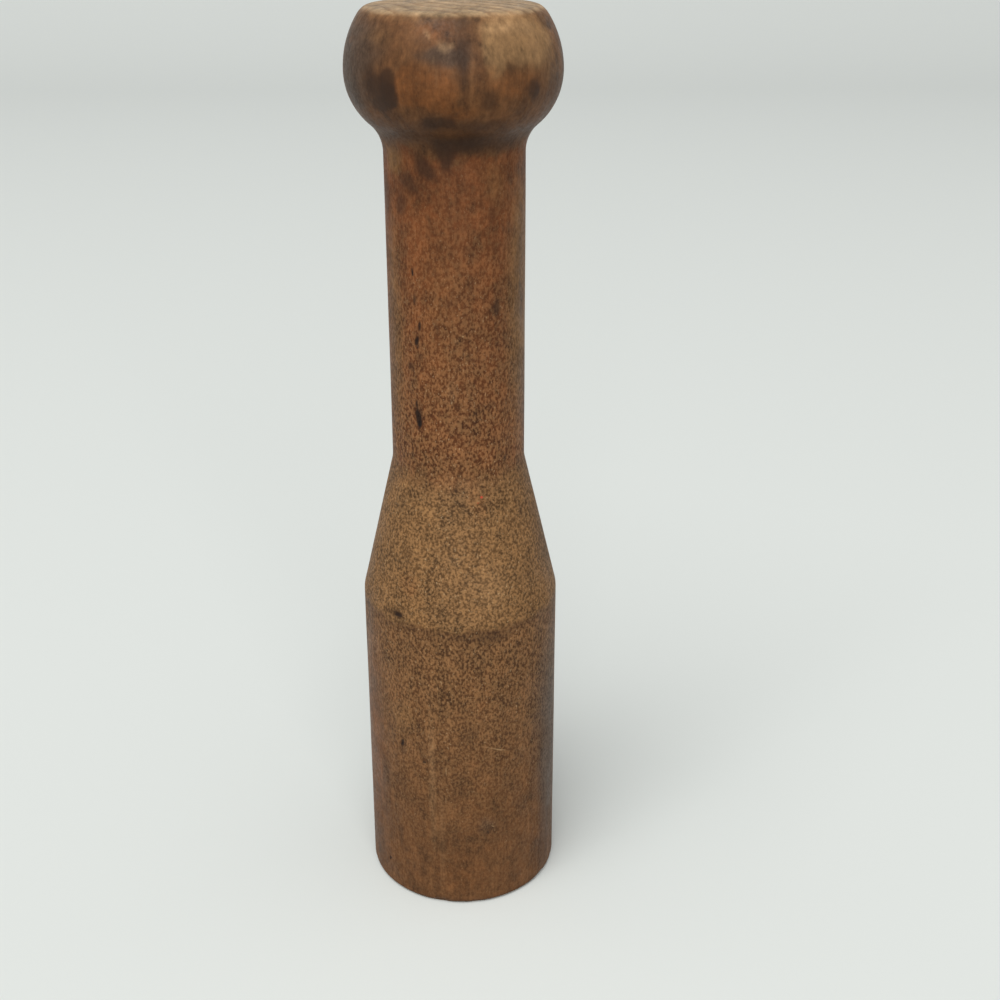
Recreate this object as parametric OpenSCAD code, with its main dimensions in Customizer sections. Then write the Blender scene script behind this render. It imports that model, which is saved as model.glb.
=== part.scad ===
// Kitchen pestle, turned from one length of hardwood. Millimetres, +Z up.
// The origin is the centre of the flat pounding face, which the pestle stands on.
// From the foot up: a barrel, a cone, a straight handle, and a flattened ball for the palm.

/* [Overall] */
// Height from the pounding face to the crown of the knob
total_h = 142.5; // [118:0.5:200]

/* [Pounding barrel] */
// Diameter of the barrel at its shoulder
barrel_d = 31.2; // [22:0.1:48]
// How much wider the barrel is at the foot than at its shoulder
foot_flare = 0.3; // [0:0.1:3]
// Height of the shoulder above the pounding face
barrel_h = 53; // [20:0.5:85]
// Radius of the worn edge round the pounding face
foot_round = 0.8; // [0.2:0.1:5]
// Radius that softens the shoulder, where the barrel turns into the cone
shoulder_round = 4; // [0.5:0.5:20]

/* [Cone] */
// Height of the cone between the shoulder and the handle
cone_h = 22.5; // [10:0.5:50]
// Radius in the hollow corner, where the cone runs into the handle
neck_round = 6; // [0.5:0.5:20]

/* [Handle] */
// Diameter of the handle just under the knob
handle_d = 20.5; // [14:0.1:26]
// How much thicker the handle is at the cone than under the knob
handle_flare = 0.1; // [0:0.1:4]

/* [Knob] */
// Greatest diameter of the knob
knob_d = 30.8; // [25:0.1:48]
// Height of the crown above the knob's widest ring
knob_rise = 9.3; // [7:0.1:12]
// Radius of the knob's curve above its widest ring
knob_top_r = 13.6; // [11:0.1:20]
// Radius of the knob's curve below its widest ring
knob_low_r = 9.4; // [6:0.1:14]
// Radius of the hollow under the knob
cove_r = 5.3; // [2:0.1:12]
// Radius of the rim round the knob's end face
rim_r = 2.4; // [0.5:0.1:5]
// Radius of the shallow dome on the knob's end face
crown_r = 90; // [40:1:400]

/* [Hidden] */

// Sides of the turning
$fn = 128;
// The most that a straight step of the outline may stray from its arc
arc_gap = 0.005;

// Direction from point p to point q
function heading(p, q) = atan2(q.y - p.y, q.x - p.x);

// Unit vector from point p towards point q
function towards(p, q) = (q - p) / norm(q - p);

// Points along an arc, from direction a0 to direction a1. The start is left out, because
// the stretch before it ends there.
function arc(c, r, a0, a1) =
    let (step = 2 * acos(1 - arc_gap / r), n = max(2, ceil(abs(a1 - a0) / step)))
    [for (i = [1:n]) let (a = a0 + (a1 - a0) * i / n) c + r * [cos(a), sin(a)]];

// Corner b of the line a-b-c, rounded with radius r
function rounded(a, b, c, r) =
    let (
        u = towards(b, a),
        v = towards(b, c),
        half = acos(u * v) / 2,
        run = r / tan(half),
        centre = b + towards([0, 0], u + v) * r / sin(half),
        start = b + run * u,
        a0 = heading(centre, start),
        sweep = (180 - 2 * half) * sign(u.y * v.x - u.x * v.y)
    )
    concat([start], arc(centre, r, a0, a0 + sweep));

// The right-hand point that lies ra from centre a and rb from centre b
function meeting_point(a, ra, b, rb) =
    let (
        d = norm(b - a),
        along = (ra * ra - rb * rb + d * d) / (2 * d),
        aside = sqrt(ra * ra - along * along),
        u = towards(a, b)
    )
    a + along * u + aside * [u.y, -u.x];

// Corners of the turning before they are rounded, from the foot to the neck
foot = [(barrel_d + foot_flare) / 2, 0];
shoulder = [barrel_d / 2, barrel_h];
neck = [(handle_d + handle_flare) / 2, barrel_h + cone_h];

// Centres of the knob's arcs. Each arc runs smoothly into the next.
widest = [knob_d / 2, total_h - knob_rise];
low_c = widest - [knob_low_r, 0];
top_c = widest - [knob_top_r, 0];
crown_c = [0, total_h - crown_r];
rim_c = meeting_point(crown_c, crown_r - rim_r, top_c, knob_top_r - rim_r);
cove_x = handle_d / 2 + cove_r;
cove_c = [cove_x, widest.y - sqrt(pow(cove_r + knob_low_r, 2) - pow(cove_x - low_c.x, 2))];

// The handle's top end, where the hollow under the knob begins
grip_end = [handle_d / 2, cove_c.y];

// Directions in which neighbouring arcs of the knob touch
cove_a = heading(low_c, cove_c);
rim_low_a = heading(top_c, rim_c);
rim_top_a = heading(crown_c, rim_c);

// Outline of the barrel and the cone, up to where the handle begins
function shank_outline() = concat(
    rounded([0, 0], foot, shoulder, foot_round),
    rounded(foot, shoulder, neck, shoulder_round),
    rounded(shoulder, neck, grip_end, neck_round)
);

// Outline of the hollow that sweeps out from the handle to the knob
function cove_outline() = concat([grip_end], arc(cove_c, cove_r, 180, 180 + cove_a));

// Outline of the knob: its curves below and above the widest ring, its rim and its crown
function knob_outline() = concat(
    arc(low_c, knob_low_r, cove_a, 0),
    arc(top_c, knob_top_r, 0, rim_low_a),
    arc(rim_c, rim_r, rim_low_a, rim_top_a),
    arc(crown_c, crown_r, rim_top_a, 90)
);

// The whole pestle, turned from one blank
module pestle() {
    color([0.49, 0.31, 0.19])
        rotate_extrude()
            polygon(concat([[0, 0]], shank_outline(), cove_outline(), knob_outline()));
}

pestle();
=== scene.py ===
"""A kitchen pestle turned from one length of hardwood: its worn surface, its finish and a plain studio."""

import logging
import math
import random
from dataclasses import dataclass
from enum import Enum

import bpy
from mathutils import Euler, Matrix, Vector, noise

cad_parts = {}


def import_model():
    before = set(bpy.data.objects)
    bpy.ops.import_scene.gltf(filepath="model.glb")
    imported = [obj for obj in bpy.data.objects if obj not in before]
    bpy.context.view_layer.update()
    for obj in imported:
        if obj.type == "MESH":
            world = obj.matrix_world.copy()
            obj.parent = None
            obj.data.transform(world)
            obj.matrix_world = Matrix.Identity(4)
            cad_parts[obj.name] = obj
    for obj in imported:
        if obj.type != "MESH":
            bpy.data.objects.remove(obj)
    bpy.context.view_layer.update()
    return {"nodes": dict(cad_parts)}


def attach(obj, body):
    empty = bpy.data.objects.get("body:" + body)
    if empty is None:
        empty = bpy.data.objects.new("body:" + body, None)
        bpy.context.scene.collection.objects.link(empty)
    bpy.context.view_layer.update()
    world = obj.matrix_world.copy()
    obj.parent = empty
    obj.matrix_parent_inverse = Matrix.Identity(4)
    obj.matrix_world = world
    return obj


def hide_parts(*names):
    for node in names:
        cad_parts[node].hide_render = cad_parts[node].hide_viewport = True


log = logging.getLogger("pestle")

MM = 0.001


class Layer(Enum):
    """What a mark or band leaves on the wood. Each is a layer of values over the surface."""

    RED = "red_wood"
    OLIVE = "olive_wood"
    TAN = "tan_wood"
    WARM = "warm_wood"
    # Grey-brown wood, and painted shade down the barrel's right side.
    ASHEN_AND_SHADE = "ashen_wood_and_painted_shade"
    PALE = "pale_wood"
    # Grime, and painted shade in the hollow under the knob.
    DIRT_AND_SHADE = "dirt_and_painted_shade"
    BRUISE = "dark_bruise"
    SMOOTH = "hand_smoothed"
    FUZZ = "raised_fuzz"
    OPEN = "open_grain"
    END = "end_grain"


@dataclass(frozen=True)
class Tone:
    """A colour as a screen shows it, each part from 0 to 255."""

    red: int
    green: int
    blue: int

    def linear(self) -> tuple[float, float, float, float]:
        """Returns the colour as Blender's nodes hold it."""
        parts = (self.red / 255, self.green / 255, self.blue / 255)
        return (*(p / 12.92 if p <= 0.04045 else ((p + 0.055) / 1.055) ** 2.4 for p in parts), 1.0)


def eased(value: float, low: float, high: float) -> float:
    """Smooth step from 0 to 1.

    Args:
        value: The number to place.
        low: Where the step begins.
        high: Where the step ends.

    Returns:
        0 below low, 1 above high, and a smooth curve between them.
    """
    share = min(max((value - low) / (high - low), 0.0), 1.0)
    return share * share * (3 - 2 * share)


@dataclass(frozen=True)
class Mark:
    """A patch, stain or dent at one place on the turning. Sizes are millimetres.

    The azimuth is in degrees from the front, growing to the right. The lean is the angle of the mark's
    length from the grain, in degrees to the right.
    """

    layer: Layer
    azimuth: float
    height: float
    wide: float
    tall: float
    lean: float = 0.0
    strength: float = 1.0
    soft: float = 0.8
    ragged: float = 0.5
    dent: float = 0.0

    def distance(self, across: float, up: float) -> float:
        """Distance from the middle, where 1 is the mark's edge.

        Args:
            across: Millimetres to the right of the middle, along the surface.
            up: Millimetres above the middle, along the surface.

        Returns:
            The distance as a share of the mark's own size in that direction.
        """
        lean = math.radians(self.lean)
        along = up * math.cos(lean) + across * math.sin(lean)
        aside = across * math.cos(lean) - up * math.sin(lean)
        return math.hypot(aside / self.wide, along / self.tall)


@dataclass(frozen=True)
class Band:
    """A stretch of the turning that carries one layer all the way round. Sizes are millimetres."""

    layer: Layer
    low: float
    high: float
    fade_low: float
    fade_high: float
    strength: float = 1.0
    wander: float = 0.0

    def value(self, height: float, stray: float) -> float:
        """How strongly the band shows.

        Args:
            height: Height above the pounding face.
            stray: Noise from -1 to 1 that makes the band's edges wander.

        Returns:
            A number from 0 to the band's strength.
        """
        place = height + self.wander * stray
        rise = eased(place, self.low, self.low + self.fade_low)
        fall = 1 - eased(place, self.high - self.fade_high, self.high)
        return self.strength * rise * fall


@dataclass(frozen=True)
class Station:
    """One ring of the turned grid: its radius and height, the way out of the wood, and its run. Millimetres."""

    radius: float
    height: float
    out_radial: float
    out_up: float
    run: float


@dataclass(frozen=True)
class Outline:
    """The turning's outline from the middle of the foot to the middle of the crown, in millimetres."""

    points: tuple[tuple[float, float], ...]
    straight_from: float = 3.0

    @classmethod
    def of_node(cls, node: bpy.types.Object) -> "Outline":
        """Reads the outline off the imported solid.

        Args:
            node: The CAD node, a solid of revolution about Z.

        Returns:
            The outline through the node's own rings of vertices.
        """
        widest: dict[float, float] = {}
        for vertex in node.data.vertices:
            height = round(vertex.co.z / MM, 3)
            radius = math.hypot(vertex.co.x, vertex.co.y) / MM
            widest[height] = max(widest.get(height, 0.0), radius)
        rings = [(widest[height], height) for height in sorted(widest)]
        crown = rings[-1][1]
        middle = [] if rings[-1][0] < 0.05 else [(0.0, crown)]
        return cls(tuple([(0.0, 0.0), *rings, *middle]))

    def headings(self) -> list[tuple[float, float]]:
        """Returns the outline's direction at each point. A straight span keeps its own at both its ends."""
        spans = [Vector(b) - Vector(a) for a, b in zip(self.points, self.points[1:])]
        found = [spans[0].normalized()]
        for before, after in zip(spans, spans[1:]):
            if before.length > self.straight_from:
                found.append(before.normalized())
            elif after.length > self.straight_from:
                found.append(after.normalized())
            else:
                found.append((before.normalized() + after.normalized()).normalized())
        found.append(Vector((-1.0, 0.0)))
        return [(h.x, h.y) for h in found]

    def stations(self, step: float, foot_step: float) -> list[Station]:
        """Places the rings of the grid along the outline, on smooth curves through its points.

        Args:
            step: The most that two rings may lie apart.
            foot_step: The same on the pounding face.

        Returns:
            The rings in order, without the two middle points.
        """
        headings = self.headings()
        rings = []
        run = 0.0
        for index, (a, b) in enumerate(zip(self.points, self.points[1:])):
            length = math.dist(a, b)
            count = max(1, math.ceil(length / (foot_step if index == 0 else step)))
            for part in range(count):
                t = part / count
                place, heading = self._curve(a, b, headings[index], headings[index + 1], length, t)
                rings.append(Station(place[0], place[1], heading[1], -heading[0], run + length * t))
            run += length
        return rings[1:]

    @staticmethod
    def _curve(
        a: tuple[float, float],
        b: tuple[float, float],
        leave: tuple[float, float],
        arrive: tuple[float, float],
        length: float,
        t: float,
    ) -> tuple[tuple[float, float], tuple[float, float]]:
        """Point and direction on the smooth curve from a to b.

        Args:
            a: Where the curve starts.
            b: Where it ends.
            leave: Its direction at the start.
            arrive: Its direction at the end.
            length: The distance from a to b.
            t: How far along, from 0 to 1.

        Returns:
            The point and the unit direction there.
        """
        place = []
        heading = []
        for k in range(2):
            m0 = leave[k] * length
            m1 = arrive[k] * length
            place.append(
                (2 * t**3 - 3 * t**2 + 1) * a[k]
                + (t**3 - 2 * t**2 + t) * m0
                + (3 * t**2 - 2 * t**3) * b[k]
                + (t**3 - t**2) * m1
            )
            heading.append(
                (6 * t**2 - 6 * t) * (a[k] - b[k]) + (3 * t**2 - 4 * t + 1) * m0 + (3 * t**2 - 2 * t) * m1
            )
        size = math.hypot(*heading)
        return (place[0], place[1]), (heading[0] / size, heading[1] / size)


@dataclass(frozen=True)
class FineMark:
    """A crisp mark finer than the mesh, such as a scratch, which the finish draws. Sizes are millimetres.

    The azimuth, height and lean are as a Mark's. The radius is the wood's at that height.
    """

    tone: Tone
    azimuth: float
    height: float
    radius: float
    wide: float
    tall: float
    lean: float = 0.0
    strength: float = 1.0
    deep: float = 0.0


SCORED = Tone(178, 142, 100)
PIT = Tone(26, 17, 13)
FLECK_RED = Tone(196, 74, 52)


@dataclass(frozen=True)
class Knob:
    """The flattened ball for the palm, from the hollow under it to its end face."""

    # The dirt-and-shade marks low on the knob, round its underside, are partly grime and partly painted shade.
    marks: tuple[Mark, ...] = (
        Mark(Layer.ASHEN_AND_SHADE, -64, 137.0, 11.0, 6.5),
        Mark(Layer.ASHEN_AND_SHADE, -66, 131.5, 7.0, 5.5, strength=0.9),
        Mark(Layer.OLIVE, -44, 138.6, 4.4, 2.4, strength=0.35),
        Mark(Layer.WARM, -70, 138.0, 2.0, 1.8, strength=0.3),
        Mark(Layer.DIRT_AND_SHADE, -44, 132.6, 4.2, 3.6, strength=0.85),
        Mark(Layer.DIRT_AND_SHADE, -34.2, 133.4, 1.7, 2.5, strength=0.7, soft=0.4, ragged=0.2),
        Mark(Layer.DIRT_AND_SHADE, -33.8, 131.2, 1.6, 2.3, strength=0.8, soft=0.4, ragged=0.2),
        Mark(Layer.DIRT_AND_SHADE, -41, 130.0, 3.8, 2.4, strength=0.75),
        Mark(Layer.DIRT_AND_SHADE, -30, 136.0, 3.2, 1.2, lean=70, strength=0.35),
        Mark(Layer.WARM, -14, 132.5, 6.4, 4.2, soft=0.6),
        Mark(Layer.WARM, -25, 132.8, 1.9, 3.2, strength=0.8, soft=0.4, ragged=0.2),
        Mark(Layer.WARM, 2, 129.4, 3.6, 2.0, strength=0.8),
        Mark(Layer.WARM, -8, 139.8, 3.6, 2.2, strength=0.7),
        Mark(Layer.ASHEN_AND_SHADE, -4, 136.6, 5.4, 2.4, strength=0.85),
        Mark(Layer.DIRT_AND_SHADE, -8, 135.6, 3.6, 0.9, lean=80, strength=0.35),
        Mark(Layer.DIRT_AND_SHADE, 4.3, 136.6, 1.6, 6.6, strength=0.62),
        Mark(Layer.DIRT_AND_SHADE, 5.0, 140.6, 2.6, 1.6, strength=0.5),
        Mark(Layer.DIRT_AND_SHADE, -9, 128.2, 3.4, 2.0, strength=0.7),
        Mark(Layer.DIRT_AND_SHADE, 12, 127.6, 6.0, 1.5, strength=0.4),
        Mark(Layer.PALE, -13.6, 139.2, 1.2, 0.6, lean=60, strength=0.42),
        Mark(Layer.PALE, -5.7, 137.9, 1.1, 0.7, lean=50, strength=0.38),
        Mark(Layer.PALE, -0.6, 138.0, 0.8, 0.6, strength=0.3),
        Mark(Layer.PALE, -9, 134.6, 2.2, 0.3, lean=85, strength=0.25),
        Mark(Layer.TAN, 40, 138.2, 8.2, 4.8, soft=0.6),
        Mark(Layer.TAN, 21, 137.2, 2.2, 5.0, strength=0.85, soft=0.5, ragged=0.3),
        Mark(Layer.TAN, 60, 135.0, 6.0, 5.0, strength=0.4),
        Mark(Layer.PALE, 25, 140.0, 3.4, 1.7, strength=0.3),
        Mark(Layer.PALE, 40, 139.8, 3.6, 1.7, strength=0.25),
        Mark(Layer.PALE, 30, 141.4, 5.5, 1.2, strength=0.3),
        Mark(Layer.WARM, 32, 132.8, 7.5, 3.0, strength=0.55),
        Mark(Layer.WARM, 17, 134.8, 2.6, 1.6, strength=0.4),
        Mark(Layer.DIRT_AND_SHADE, 29, 135.3, 1.6, 1.0, lean=60, strength=0.55),
        Mark(Layer.DIRT_AND_SHADE, 18, 131.2, 1.9, 2.6, strength=0.55),
        Mark(Layer.DIRT_AND_SHADE, 44, 131.6, 2.4, 2.8, lean=20, strength=0.75),
        Mark(Layer.DIRT_AND_SHADE, 66, 131.0, 6.5, 5.0, strength=0.4),
        Mark(Layer.DIRT_AND_SHADE, 14.4, 141.0, 0.9, 0.6, strength=0.6),
        Mark(Layer.DIRT_AND_SHADE, 68.4, 139.6, 1.2, 1.0, strength=0.7),
        Mark(Layer.ASHEN_AND_SHADE, 88, 134.0, 5.5, 8.0, strength=0.8),
        Mark(Layer.ASHEN_AND_SHADE, 118, 136.5, 8.0, 6.0, strength=0.8),
        Mark(Layer.DIRT_AND_SHADE, 128, 131.4, 4.8, 3.4, strength=0.7),
        Mark(Layer.TAN, 152, 138.0, 8.0, 4.4, strength=0.9, soft=0.6),
        Mark(Layer.WARM, 170, 132.6, 6.4, 4.0, strength=0.9),
        Mark(Layer.PALE, 176, 139.4, 2.4, 1.2, lean=-30, strength=0.4),
        Mark(Layer.DIRT_AND_SHADE, -158, 134.6, 1.8, 5.4, lean=8, strength=0.6),
        Mark(Layer.ASHEN_AND_SHADE, -142, 136.0, 8.0, 6.0, strength=0.9),
        Mark(Layer.DIRT_AND_SHADE, -136, 131.4, 4.0, 3.0, strength=0.75),
        Mark(Layer.TAN, -116, 138.6, 5.6, 3.2, strength=0.7),
        Mark(Layer.WARM, -110, 133.0, 5.4, 4.0, strength=0.8),
        Mark(Layer.PALE, -104, 139.0, 2.2, 1.2, strength=0.35),
        Mark(Layer.BRUISE, -121, 137.2, 0.6, 0.6, strength=0.9, dent=0.08),
        Mark(Layer.BRUISE, 141, 134.4, 0.5, 1.3, lean=-12, strength=0.8, dent=0.06),
    )
    bands: tuple[Band, ...] = (
        Band(Layer.SMOOTH, 120.0, 144.0, 9.0, 0.5, 1.0, 0.8),
        # Darker round the hollow under the knob: partly grime, partly painted shade under the knob.
        Band(Layer.DIRT_AND_SHADE, 122.0, 129.4, 4.0, 3.8, 0.5, 0.5),
        Band(Layer.TAN, 139.6, 144.0, 2.2, 0.5, 0.45, 0.5),
        Band(Layer.END, 141.1, 144.0, 0.5, 0.5, 1.0, 0.08),
    )
    fine: tuple[FineMark, ...] = ()


@dataclass(frozen=True)
class Handle:
    """The straight grip between the cone and the knob."""

    marks: tuple[Mark, ...] = (
        # Darker patches in the hollow under the knob: partly grime, partly painted shade under the knob.
        Mark(Layer.DIRT_AND_SHADE, 8, 124.8, 5.0, 2.6, strength=0.85),
        Mark(Layer.DIRT_AND_SHADE, -8, 123.2, 4.2, 2.1, lean=60, strength=0.8),
        Mark(Layer.DIRT_AND_SHADE, -24, 121.4, 3.8, 2.0, lean=55, strength=0.72),
        Mark(Layer.DIRT_AND_SHADE, -38, 118.9, 3.2, 2.0, lean=42, strength=0.66),
        Mark(Layer.DIRT_AND_SHADE, -48, 116.0, 2.0, 3.2, lean=10, strength=0.55),
        Mark(Layer.DIRT_AND_SHADE, -72, 116.0, 2.4, 6.4, strength=0.5),
        Mark(Layer.DIRT_AND_SHADE, 36, 124.4, 5.0, 2.2, strength=0.45),
        Mark(Layer.OLIVE, -57, 121.8, 3.4, 3.2, strength=0.8),
        Mark(Layer.OLIVE, 68, 101.0, 6.6, 30.0, strength=0.9),
        Mark(Layer.SMOOTH, 74, 101.0, 5.4, 30.0, strength=0.8),
        Mark(Layer.OLIVE, 33, 119.0, 3.2, 5.0, strength=0.4),
        Mark(Layer.OLIVE, -64, 97.0, 4.4, 26.0, strength=0.62),
        Mark(Layer.WARM, -78, 96.0, 3.4, 26.0, strength=0.6),
        Mark(Layer.SMOOTH, -76, 101.0, 4.4, 30.0, strength=0.6),
        Mark(Layer.WARM, -6, 101.0, 6.0, 22.0, strength=0.4),
        Mark(Layer.DIRT_AND_SHADE, 29.5, 115.2, 1.1, 4.0, strength=0.42),
        Mark(Layer.DIRT_AND_SHADE, 41, 112.4, 0.5, 1.0, strength=0.5),
        Mark(Layer.BRUISE, -37.8, 106.6, 0.40, 1.15, lean=-8, strength=0.85, dent=0.08),
        Mark(Layer.DIRT_AND_SHADE, -22.6, 107.6, 1.6, 1.0, strength=0.32),
        Mark(Layer.DIRT_AND_SHADE, -36.1, 102.8, 0.45, 1.1, strength=0.75),
        Mark(Layer.BRUISE, -32.2, 99.0, 0.50, 1.2, lean=8, strength=0.75, dent=0.07),
        Mark(Layer.BRUISE, -35.0, 96.5, 0.52, 1.4, lean=16, strength=0.8, dent=0.09),
        Mark(Layer.DIRT_AND_SHADE, -33.6, 97.6, 1.3, 2.6, lean=12, strength=0.35),
        Mark(Layer.DIRT_AND_SHADE, -16.0, 98.8, 1.9, 0.8, lean=80, strength=0.5),
        Mark(Layer.DIRT_AND_SHADE, -32.0, 94.2, 1.2, 1.0, strength=0.55),
        Mark(Layer.DIRT_AND_SHADE, -42.0, 92.4, 1.1, 1.1, strength=0.55),
        Mark(Layer.BRUISE, -36.6, 86.8, 0.45, 1.6, lean=-6, strength=0.75, dent=0.06),
        Mark(Layer.BRUISE, -34.9, 84.3, 0.80, 1.9, lean=-6, strength=1.0, soft=0.6, dent=0.14),
        Mark(Layer.DIRT_AND_SHADE, -35.5, 85.0, 1.6, 3.8, strength=0.4),
        Mark(Layer.DIRT_AND_SHADE, -5.2, 102.4, 1.3, 1.3, strength=0.45),
        Mark(Layer.DIRT_AND_SHADE, 34.1, 101.3, 1.2, 2.3, strength=0.75, dent=0.03),
        Mark(Layer.DIRT_AND_SHADE, 34.0, 98.8, 0.5, 1.2, strength=0.5),
        Mark(Layer.DIRT_AND_SHADE, 43.0, 99.0, 0.8, 1.6, strength=0.35),
        Mark(Layer.PALE, -4.4, 89.6, 1.0, 3.0, strength=0.14),
        Mark(Layer.DIRT_AND_SHADE, 27.2, 86.9, 1.7, 0.7, strength=0.4),
        Mark(Layer.DIRT_AND_SHADE, 42.6, 77.9, 0.6, 0.8, strength=0.6),
        Mark(Layer.WARM, 66.0, 82.0, 2.2, 6.0, strength=0.6),
        Mark(Layer.DIRT_AND_SHADE, 80.0, 86.0, 2.0, 11.0, strength=0.35),
        Mark(Layer.WARM, 118, 104.0, 5.0, 14.0, strength=0.7),
        Mark(Layer.DIRT_AND_SHADE, 133, 111.0, 1.5, 5.0, lean=12, strength=0.55),
        Mark(Layer.BRUISE, 146, 93.4, 0.55, 1.6, lean=8, strength=0.9, dent=0.10),
        Mark(Layer.DIRT_AND_SHADE, 150, 91.8, 1.8, 2.6, strength=0.4),
        Mark(Layer.OLIVE, 168, 96.0, 5.0, 20.0, strength=0.7),
        Mark(Layer.DIRT_AND_SHADE, 176, 117.6, 4.4, 3.2, lean=-40, strength=0.65),
        Mark(Layer.DIRT_AND_SHADE, -164, 86.0, 1.2, 2.2, strength=0.55),
        Mark(Layer.BRUISE, -158, 104.2, 0.45, 1.0, lean=-10, strength=0.9, dent=0.07),
        Mark(Layer.WARM, -146, 92.0, 4.8, 14.0, strength=0.6),
        Mark(Layer.DIRT_AND_SHADE, -128, 100.6, 1.3, 1.7, strength=0.55),
        Mark(Layer.BRUISE, -117, 88.2, 0.45, 1.2, lean=5, strength=0.9, dent=0.07),
        Mark(Layer.OLIVE, -108, 110.0, 4.2, 10.0, strength=0.6),
        Mark(Layer.BRUISE, 97, 95.0, 0.45, 1.1, lean=14, strength=0.9, dent=0.08),
        Mark(Layer.DIRT_AND_SHADE, 101, 88.0, 1.1, 2.0, strength=0.5),
    )
    bands: tuple[Band, ...] = (Band(Layer.RED, 73.5, 124.5, 5.0, 3.0, 0.9, 1.6),)
    fine: tuple[FineMark, ...] = (
        FineMark(SCORED, 4.7, 97.7, 10.2, 0.16, 0.18, strength=0.9),
        FineMark(PIT, -37.4, 106.4, 10.2, 0.12, 0.55, -8, 0.9, 0.04),
        FineMark(PIT, -34.0, 95.7, 10.2, 0.16, 0.50, 16, 0.8, 0.04),
        FineMark(PIT, -34.4, 83.7, 10.2, 0.30, 0.80, -4, 0.9, 0.05),
    )


@dataclass(frozen=True)
class Cone:
    """The cone between the barrel and the handle, whose cut fibres stand open."""

    marks: tuple[Mark, ...] = (
        Mark(Layer.WARM, 14.0, 72.0, 3.2, 4.4, strength=0.5),
        Mark(Layer.RED, -6.0, 75.0, 6.5, 2.6, strength=0.7),
        Mark(Layer.DIRT_AND_SHADE, 48.7, 71.4, 0.7, 1.8, lean=-10, strength=0.45),
        Mark(Layer.DIRT_AND_SHADE, 53.5, 69.4, 0.7, 1.8, lean=-10, strength=0.45),
        Mark(Layer.DIRT_AND_SHADE, 40.0, 68.0, 4.0, 5.0, strength=0.2),
        Mark(Layer.DIRT_AND_SHADE, -53.5, 69.7, 1.1, 1.1, strength=0.45),
        Mark(Layer.DIRT_AND_SHADE, -37.7, 63.1, 1.8, 2.8, strength=0.28),
        Mark(Layer.WARM, -34.0, 58.4, 3.2, 3.4, strength=0.5),
        Mark(Layer.PALE, -4.0, 63.2, 3.0, 1.0, strength=0.16),
        Mark(Layer.PALE, 20.0, 59.0, 5.0, 4.6, strength=0.16),
        Mark(Layer.BRUISE, -39.6, 53.6, 1.5, 0.6, lean=4, strength=0.7, dent=0.08),
        Mark(Layer.DIRT_AND_SHADE, -41.0, 53.5, 3.4, 1.2, lean=6, strength=0.6),
        Mark(Layer.DIRT_AND_SHADE, 76.0, 62.0, 5.0, 11.0, strength=0.35),
        Mark(Layer.BRUISE, 128, 60.4, 0.6, 1.1, lean=20, strength=0.8, dent=0.08),
        Mark(Layer.DIRT_AND_SHADE, 152, 66.0, 3.2, 5.0, strength=0.4),
        Mark(Layer.WARM, -170, 62.0, 5.0, 7.0, strength=0.5),
        Mark(Layer.DIRT_AND_SHADE, -132, 57.2, 2.0, 1.3, lean=70, strength=0.55),
        Mark(Layer.BRUISE, -96, 66.6, 0.5, 1.0, strength=0.8, dent=0.06),
    )
    bands: tuple[Band, ...] = (
        Band(Layer.FUZZ, 2.0, 126.0, 50.0, 50.0, 1.0, 3.0),
        Band(Layer.OPEN, 51.6, 78.2, 1.4, 7.0, 1.0, 0.5),
        Band(Layer.OLIVE, 51.8, 78.0, 1.0, 8.0, 0.95, 0.6),
    )
    fine: tuple[FineMark, ...] = (
        FineMark(FLECK_RED, 17.9, 72.6, 10.95, 0.30, 0.26, strength=0.95),
        FineMark(FLECK_RED, 14.6, 71.8, 11.1, 0.22, 0.16, strength=0.35),
    )


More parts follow.
